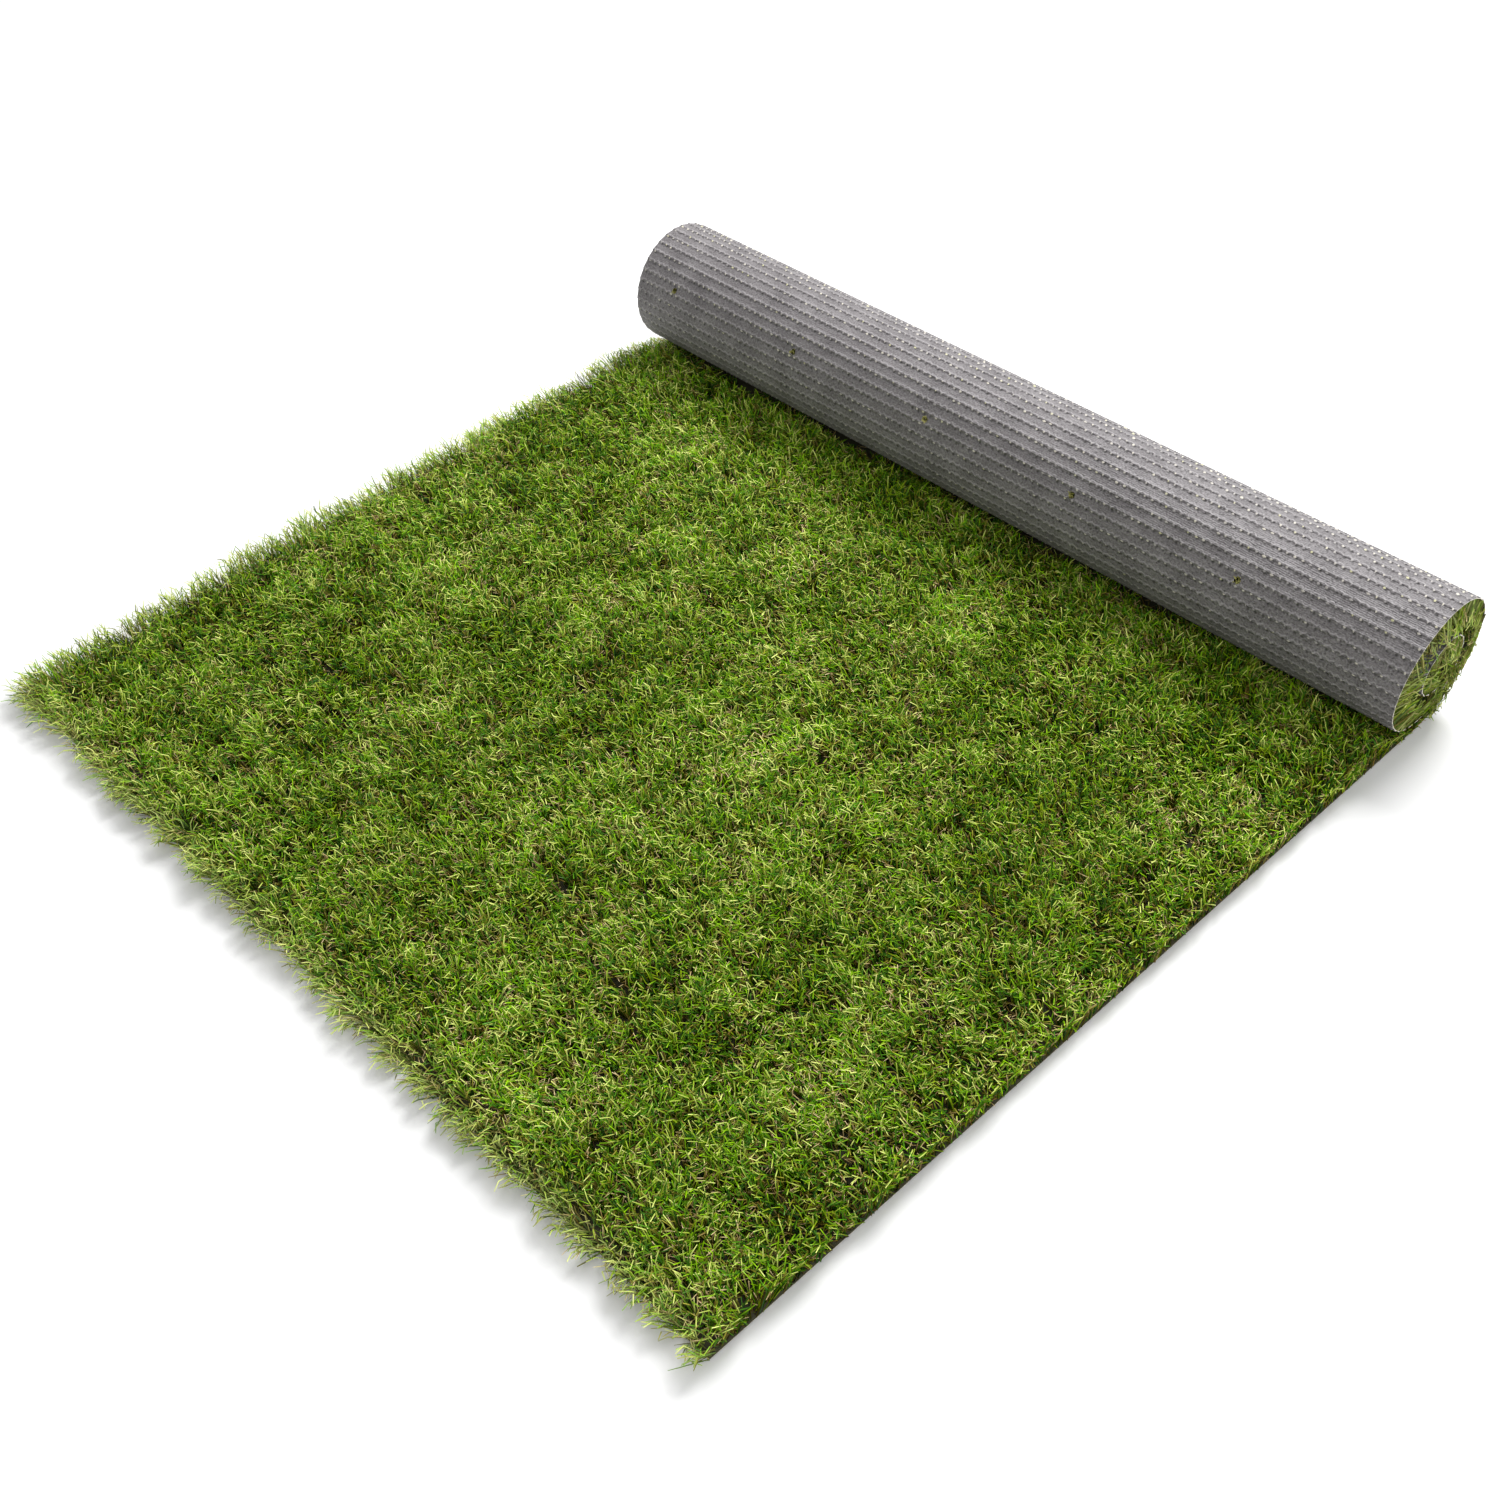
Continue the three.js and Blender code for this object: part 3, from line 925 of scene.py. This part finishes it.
    def held_in(lean, most):
        """A lean that goes no further out over the side than this."""
        split = add_node(tree, "ShaderNodeSeparateXYZ", {0: lean}).outputs
        out_lean = calc("MINIMUM", calc("MULTIPLY", split[0], side_sign), most)
        return combine(tree, calc("MULTIPLY", out_lean, side_sign), split[1], 0.0)

    lie = held_in(lie, cap)
    by_edge = calc("MAXIMUM", at_front, at_left)
    by_edge = calc("MAXIMUM", by_edge, calc("MULTIPLY", at_end, rolled))
    pale = calc("MULTIPLY", by_edge, vary(0.0, 1.0, 14))

    def onto(start, spread, rise, length):
        parts = add_node(tree, "ShaderNodeSeparateXYZ", {0: spread}).outputs
        spread = move(tree, "ADD", combine(tree, parts[0], 0.0, 0.0), move(tree, "SCALE", travel, parts[1]))
        size = calc("MULTIPLY", parts[0], parts[0])
        size = calc("ADD", size, calc("MULTIPLY", parts[1], parts[1]))
        size = calc("SQRT", calc("ADD", size, calc("MULTIPLY", rise, rise)))
        step = calc("DIVIDE", length, size)
        step_up = move(tree, "SCALE", up, calc("MULTIPLY", calc("MULTIPLY", rise, step), squash))
        end = move(tree, "ADD", start, move(tree, "ADD", move(tree, "SCALE", spread, step), step_up))
        return end, spread

    patches = noise_over(tree, flat_place, 1 / patch_size, 2.0)
    thin = calc("MULTIPLY", calc("SUBTRACT", patches, 0.5), given["Patchiness"])
    slant = calc("SUBTRACT", stand[0], calc("MULTIPLY", stand[1], streak_slant))
    brushed = calc("DIVIDE", stand[1], streak_length)
    brushed = combine(tree, calc("DIVIDE", slant, streak_width), brushed, 0.0)
    streak = noise_over(tree, brushed, 1.0, 1.0)
    thin = calc("ADD", thin, calc("MULTIPLY", calc("SUBTRACT", streak, 0.5), streak_depth))
    length = calc("MULTIPLY", given["Length"], calc("ADD", thin, vary(length_least, length_most, 8)))
    lower = calc("MULTIPLY", length, lower_share)
    middle, _ = onto(root, lie, 1.0, lower)
    curl = on_circle(vary(0.0, math.tau, 5), calc("MULTIPLY", given["Curl"], vary(curl_least, curl_most, 6)))
    upper_rise = calc("ADD", given["Upper rise"], vary(rise_least, rise_most, 7))
    droop = calc("MULTIPLY", calc("MULTIPLY", at_front, loose), edge_droop)
    upper_rise = calc("SUBTRACT", upper_rise, droop)
    upper_rise = calc("ADD", upper_rise, calc("MULTIPLY", rolled, roll_rise))
    upper_rise = calc("ADD", upper_rise, calc("MULTIPLY", at_left, left_rise))
    curl = move(tree, "MULTIPLY", curl, narrow)
    upper_lie = move(tree, "ADD", move(tree, "SCALE", lie, tip_lean), curl)
    upper_lie = held_in(upper_lie, calc("ADD", calc("MULTIPLY", cap, 1.6), 0.1))
    tip, facing = onto(middle, upper_lie, upper_rise, calc("SUBTRACT", length, lower))
    side = move(tree, "CROSS_PRODUCT", up, facing)
    side = add_node(tree, "ShaderNodeVectorMath", {0: side}, operation="NORMALIZE").outputs[0]
    wander = combine(tree, vary(-twist, twist, 9), vary(-twist, twist, 10), vary(-twist, twist, 12))
    side = move(tree, "ADD", side, wander)
    side = add_node(tree, "ShaderNodeVectorMath", {0: side}, operation="NORMALIZE").outputs[0]

    total = add_node(tree, "GeometryNodeAttributeDomainSize", {0: points}, component="POINTCLOUD")
    cells = calc("CEIL", calc("SQRT", total.outputs[0]))
    for name, kind, value in (
        ("root", "FLOAT_VECTOR", root),
        ("middle", "FLOAT_VECTOR", middle),
        ("tip", "FLOAT_VECTOR", tip),
        ("side", "FLOAT_VECTOR", side),
        ("tint", "FLOAT", vary(0.0, 1.0, 13)),
        ("pale", "FLOAT", pale),
        ("cell", "FLOAT", index),
    ):
        points = keep_as(tree, points, name, kind, value)

    strip = add_node(
        tree,
        "GeometryNodeMeshGrid",
        {"Size X": 1.0, "Size Y": 1.0, "Vertices X": 2, "Vertices Y": 3},
    ).outputs[0]
    position = add_node(tree, "GeometryNodeInputPosition").outputs[0]
    own = add_node(tree, "ShaderNodeSeparateXYZ", {0: position})
    strip = keep_as(tree, strip, "edge", "FLOAT", own.outputs[0])
    strip = keep_as(tree, strip, "height", "FLOAT", calc("ADD", own.outputs[1], 0.5))
    blades = add_node(tree, "GeometryNodeInstanceOnPoints", {"Points": points, "Instance": strip}).outputs[0]
    mesh = add_node(tree, "GeometryNodeRealizeInstances", {0: blades}).outputs[0]

    height = kept(tree, "height", "FLOAT")
    off_middle = kept(tree, "edge", "FLOAT")
    near_root = calc("SUBTRACT", 1.0, calc("MULTIPLY", height, 2.0), clamp=True)
    near_tip = calc("SUBTRACT", calc("MULTIPLY", height, 2.0), 1.0, clamp=True)
    near_middle = calc("SUBTRACT", calc("SUBTRACT", 1.0, near_root), near_tip)
    where = move(tree, "SCALE", kept(tree, "root", "FLOAT_VECTOR"), near_root)
    for name, share in (("middle", near_middle), ("tip", near_tip)):
        where = move(tree, "ADD", where, move(tree, "SCALE", kept(tree, name, "FLOAT_VECTOR"), share))
    taper = calc("SUBTRACT", 1.0, calc("MULTIPLY", calc("MULTIPLY", height, height), tip_taper))
    reach = calc("MULTIPLY", calc("MULTIPLY", off_middle, given["Width"]), taper)
    where = move(tree, "ADD", where, move(tree, "SCALE", kept(tree, "side", "FLOAT_VECTOR"), reach))
    mesh = add_node(tree, "GeometryNodeSetPosition", {"Geometry": mesh, "Position": where}).outputs[0]

    cell = kept(tree, "cell", "FLOAT")
    cell_row = calc("FLOOR", calc("DIVIDE", calc("ADD", cell, 0.5), cells))
    cell_column = calc("SUBTRACT", cell, calc("MULTIPLY", cell_row, cells))
    u = calc("ADD", 0.5, calc("MULTIPLY", off_middle, cell_fill))
    u = calc("DIVIDE", calc("ADD", cell_column, u), cells)
    v = calc("ADD", calc("MULTIPLY", height, cell_fill), (1 - cell_fill) / 2)
    v = calc("DIVIDE", calc("ADD", cell_row, v), cells)
    mesh = keep_as(tree, mesh, map_name, "FLOAT2", combine(tree, u, v, 0.0), "CORNER")
    mesh = add_node(tree, "GeometryNodeSetShadeSmooth", {"Geometry": mesh}).outputs[0]
    painted = add_node(tree, "GeometryNodeSetMaterial", {"Geometry": mesh, "Material": given["Material"]})
    tree.links.new(painted.outputs[0], out["Geometry"])
    return tree


def yarn_colour_group():
    """A yarn's colour: its own shade for each blade, painted shade that darkens it towards the root and paler
    to the tip, and patches over the turf.
    """
    tree, given, out = new_shader_group(
        "yarn_colour",
        {
            "Dull": ("NodeSocketColor", (0, 0, 0, 1)),
            "Bright": ("NodeSocketColor", (1, 1, 1, 1)),
        },
        {"Colour": "NodeSocketColor", "Roughness": "NodeSocketFloat"},
    )
    tint = add_node(tree, "ShaderNodeAttribute", attribute_name="tint").outputs["Fac"]
    height = add_node(tree, "ShaderNodeAttribute", attribute_name="height").outputs["Fac"]
    place = add_node(tree, "ShaderNodeTexCoord").outputs["Object"]
    patch = noise_over(tree, place, shade_patch_scale, 3.0)
    # Painted shade: a blade is darker towards its root, down in the pile, and paler to its tip.
    painted_root_shade = sum_up(tree, "ADD", sum_up(tree, "POWER", height, height_power), root_shade)
    shade = sum_up(tree, "MULTIPLY", sum_up(tree, "POWER", tint, tint_power), tint_shade)
    shade = sum_up(tree, "MULTIPLY", shade, painted_root_shade)
    shade = sum_up(tree, "ADD", shade, sum_up(tree, "MULTIPLY", height, tip_shade))
    patch = sum_up(tree, "MULTIPLY", sum_up(tree, "SUBTRACT", patch, patch_level), patch_gain)
    shade = sum_up(tree, "ADD", shade, patch, clamp=True)
    colour = add_node(
        tree,
        "ShaderNodeMix",
        {0: shade, 6: given["Dull"], 7: given["Bright"]},
        data_type="RGBA",
    ).outputs[2]
    pale = add_node(tree, "ShaderNodeAttribute", attribute_name="pale").outputs["Fac"]
    colour = add_node(
        tree,
        "ShaderNodeMix",
        {0: sum_up(tree, "MULTIPLY", pale, straw_share, clamp=True), 6: colour, 7: straw_colour},
        data_type="RGBA",
    ).outputs[2]
    tree.links.new(colour, out["Colour"])
    shine = sum_up(tree, "SUBTRACT", dull_roughness, sum_up(tree, "MULTIPLY", tint, tint_gloss))
    tree.links.new(shine, out["Roughness"])
    return tree


def yarn_material(name, dull, bright):
    material, tree, surface = new_material(name)
    shades = add_node(tree, "ShaderNodeGroup", node_tree=yarn_colour)
    shades.inputs["Dull"].default_value = (*dull, 1)
    shades.inputs["Bright"].default_value = (*bright, 1)
    tree.links.new(shades.outputs["Colour"], surface.inputs["Base Color"])
    tree.links.new(shades.outputs["Roughness"], surface.inputs["Roughness"])
    surface.inputs["Specular IOR Level"].default_value = 0.12
    return material


yarn_colour = yarn_colour_group()
tufting = tuft_tree()
for name, (each, length, width, splay, curl, upper_rise, dull, bright, seed) in yarns.items():
    yarn_mesh = grown(
        tufting,
        name,
        {
            "Yarns": float(each),
            "Length": blade_length * length,
            "Width": width * MM,
            "Splay": splay,
            "Curl": curl,
            "Upper rise": upper_rise,
            "Patchiness": thatch_patch_depth if "thatch" in name else patch_depth,
            "Seed": seed,
            "Material": yarn_material(name, dull, bright),
        },
    )
    for spare in ("stand", "root", "middle", "tip", "side", "cell", "edge"):
        if spare in yarn_mesh.attributes:
            yarn_mesh.attributes.remove(yarn_mesh.attributes[spare])
    place_piece(name, yarn_mesh)
    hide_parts("grass_pile")

# The yarn ends in the drain holes
# The holes are burnt through after the coating, so cut and curled ends of the pile stand in each of them,
# level with the coated face.
ends_to_a_hole = 26
end_width = 1.0 * MM
end_reach = 0.85 * drain_radius
end_lean_least, end_lean_most = 0.6, 2.4
end_top_least, end_top_most = 0.05, 0.9
end_foot = 4 * MM
end_bend = 0.5 * MM
# These heights also give the yarn its painted shade: darker at the foot, down in the hole.
end_heights = (0.0, 0.0, 0.6, 0.6, 1.0, 1.0)
end_dull, end_bright = (0.10, 0.10, 0.015), (0.62, 0.58, 0.22)


def hole_ends_mesh():
    """Short bent strips of yarn that come up through each hole from the pile's side."""
    chance = np.random.default_rng(19)
    places, faces, tints, heights = [], [], [], []
    drains_x = [first_drain_column + i * drain_spacing for i in range(drain_columns)]
    for x, along in ((x, along) for along in drain_rows() for x in drains_x):
        for _ in range(ends_to_a_hole):
            turn = chance.uniform(0, math.tau)
            bend = chance.uniform(0, math.tau)
            reach = end_reach * math.sqrt(chance.uniform(0, 1))
            foot = (x + reach * math.cos(turn), along + reach * math.sin(turn))
            lean = chance.uniform(end_lean_least, end_lean_most) * MM
            tip = (foot[0] + lean * math.cos(bend), foot[1] + lean * math.sin(bend))
            waist = ((foot[0] * 2 + tip[0]) / 3, (foot[1] * 2 + tip[1]) / 3)
            across = (-math.sin(bend) * end_width / 2, math.cos(bend) * end_width / 2)
            top = chance.uniform(end_top_least, end_top_most) * MM
            corner = len(places)
            for (px, pa), level in ((foot, end_foot), (waist, top + end_bend), (tip, top)):
                places.append(sheet_point(px - across[0], pa - across[1], level))
                places.append(sheet_point(px + across[0], pa + across[1], level))
            faces.append((corner, corner + 1, corner + 3, corner + 2))
            faces.append((corner + 2, corner + 3, corner + 5, corner + 4))
            tints += [chance.uniform(0, 1)] * len(end_heights)
            heights += end_heights
    mesh = bpy.data.meshes.new("drain_hole_yarn")
    mesh.from_pydata(places, [], faces)
    mesh.attributes.new("tint", "FLOAT", "POINT").data.foreach_set("value", tints)
    mesh.attributes.new("height", "FLOAT", "POINT").data.foreach_set("value", heights)
    mesh.materials.append(yarn_material("drain_hole_yarn", end_dull, end_bright))
    return mesh


hole_yarn = place_piece("drain_hole_yarn", hole_ends_mesh())
